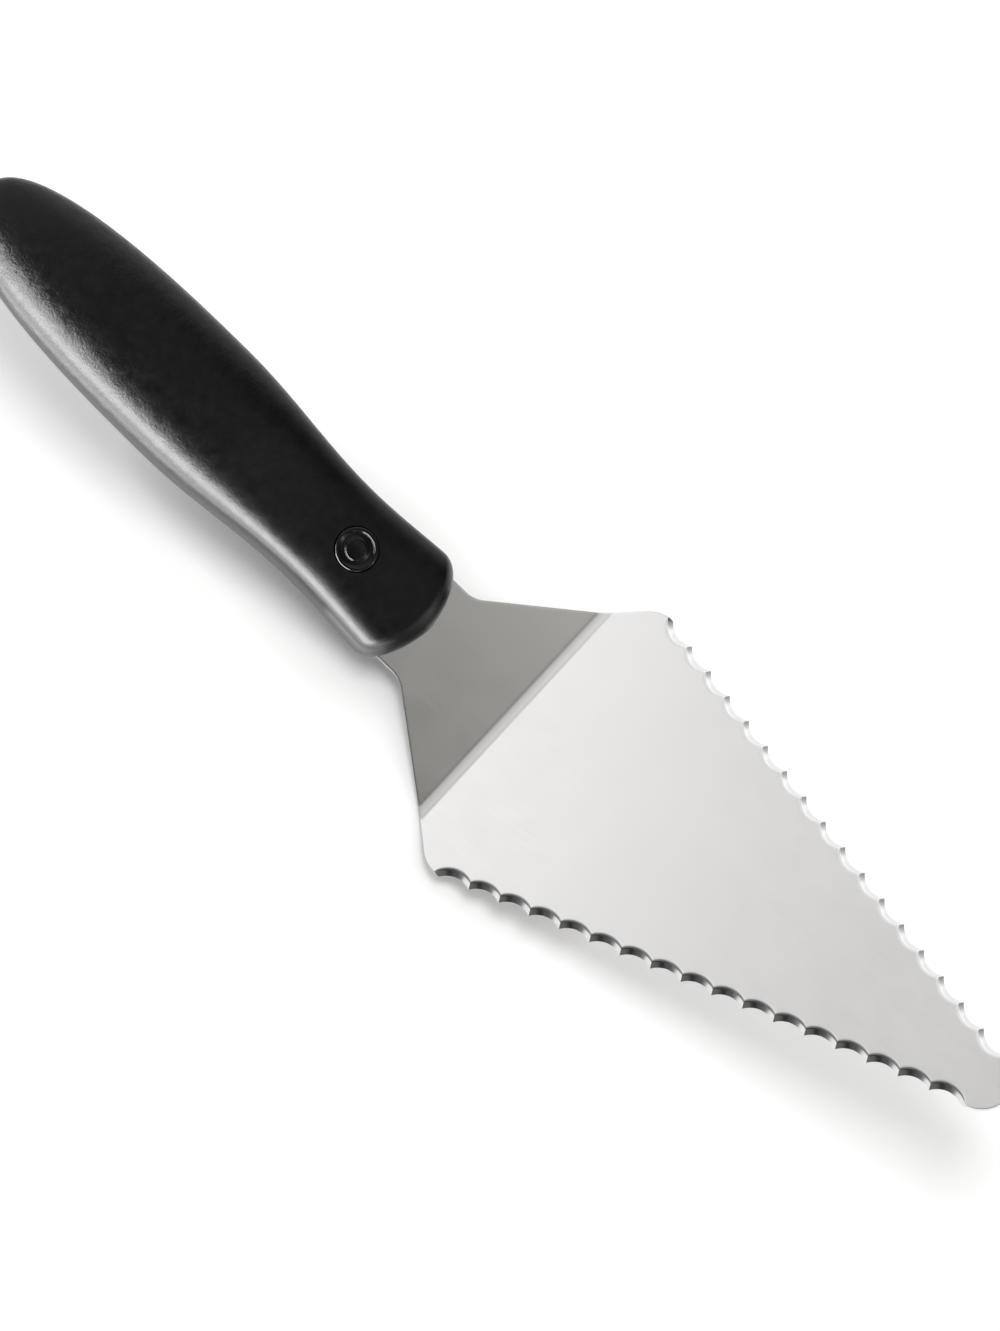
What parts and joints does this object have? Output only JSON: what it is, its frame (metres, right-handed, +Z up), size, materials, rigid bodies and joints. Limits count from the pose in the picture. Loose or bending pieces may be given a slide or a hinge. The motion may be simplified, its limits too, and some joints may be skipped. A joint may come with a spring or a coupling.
{
  "type": "cake server",
  "caption": "Cake server: flat tapering steel blade with ground scallops along both edges and a round nose, bent up at the heel into a neck that runs into a moulded black grip.",
  "frame": {"origin": "on the table, under the middle of the server's length and width", "axes": "+Z up as it rests, +X along its length from the handle to the blade's nose, Y across the blade"},
  "size_m": [0.2356, 0.0616, 0.0389],
  "materials": {
    "steel": "polished, with fine brushing along the blade",
    "grip": "satin with a fine moulded grain",
    "disc": "gloss"
  },
  "bodies": {
    "root": {"blade": "steel", "handle": "grip", "disc": "disc"}
  },
  "joints": []
}
